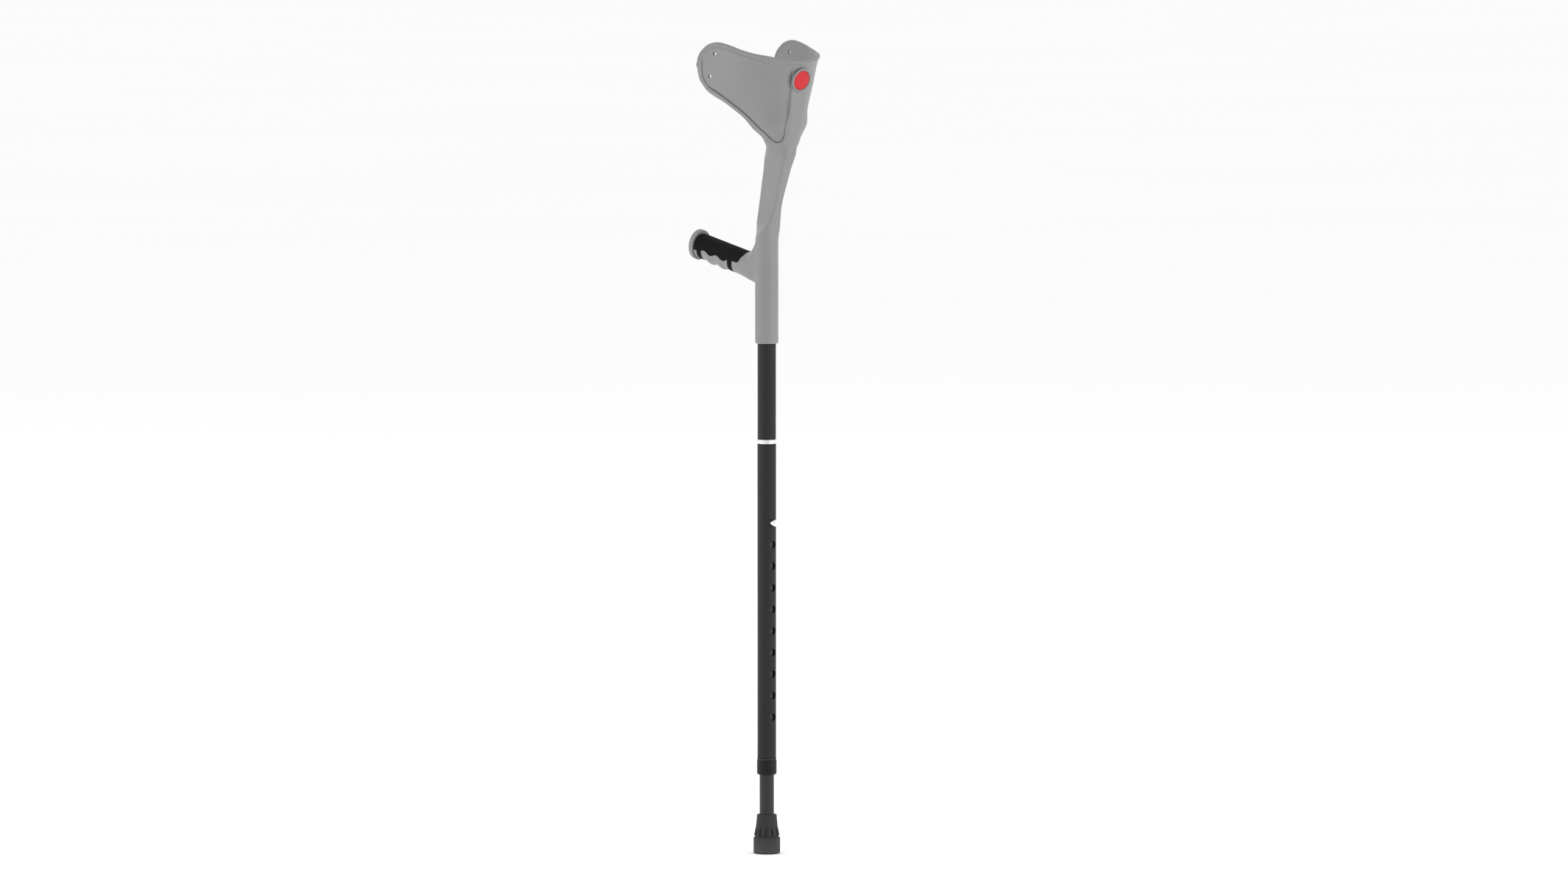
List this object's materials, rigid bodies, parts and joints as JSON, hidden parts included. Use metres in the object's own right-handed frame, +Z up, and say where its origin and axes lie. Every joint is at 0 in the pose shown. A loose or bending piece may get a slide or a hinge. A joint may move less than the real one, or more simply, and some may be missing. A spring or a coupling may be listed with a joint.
{
  "type": "forearm crutch",
  "caption": "Forearm crutch with an open moulded cuff, a soft forward handle, a reflector and a push-button height-adjustable leg on a rubber ferrule.",
  "frame": {"origin": "centre of the ferrule's foot, with the leg pushed fully in", "axes": "+Z up the tubes, +X the way the handle points and the cuff opens, Y across the crutch"},
  "size_m": [0.1917, 0.127, 0.9531],
  "materials": {
    "grey_moulding": "fine satin moulded plastic",
    "soft_black_grip": "soft matte with a fine grain",
    "reflector_mirror": "silvered",
    "reflector_red": "clear red reflector",
    "dark_tube": "dark grey satin anodised",
    "dark_inner_tube": "dark grey satin anodised",
    "bright_ring": "bright turned",
    "raw_aluminium": "plain",
    "bush_plastic": "satin",
    "collar_plastic": "satin black",
    "guide_nylon": "natural",
    "button_chrome": "polished",
    "spring_steel": "plain",
    "ferrule_rubber": "matte moulded"
  },
  "bodies": {
    "frame": {"upper_moulding": "grey_moulding", "handle_end_cap": "grey_moulding", "grip_pad": "soft_black_grip", "reflector_bezel": "grey_moulding", "reflector_back": "reflector_mirror", "reflector_lens": "reflector_red", "upper_tube": "dark_tube", "joint_ring": "bright_ring", "tube_coupler": "raw_aluminium", "main_tube": "dark_tube", "upper_coupler_rivet": "raw_aluminium", "lower_coupler_rivet": "raw_aluminium", "sleeve_rivet": "raw_aluminium", "guide_bush": "bush_plastic", "end_collar": "collar_plastic"},
    "leg": {"inner_tube": "dark_inner_tube", "inner_tube_bush": "guide_nylon", "button_spring": "spring_steel", "ferrule": "ferrule_rubber", "ferrule_washer": "spring_steel"},
    "button": {"snap_button": "button_chrome"}
  },
  "joints": [
    {"name": "leg_slide", "type": "slide", "parent": "frame", "child": "leg", "axis": [0, 0, -1], "range_m": [0, 0.2286], "deforming": ["snap_button", "button_spring"]},
    {"name": "button_press", "type": "slide", "parent": "leg", "child": "button", "axis": [1, 0, 0], "range_m": [0, 0.0084], "stiffness_N_per_m": 800, "springref_m": -0.002, "deforming": ["button_spring"]}
  ]
}
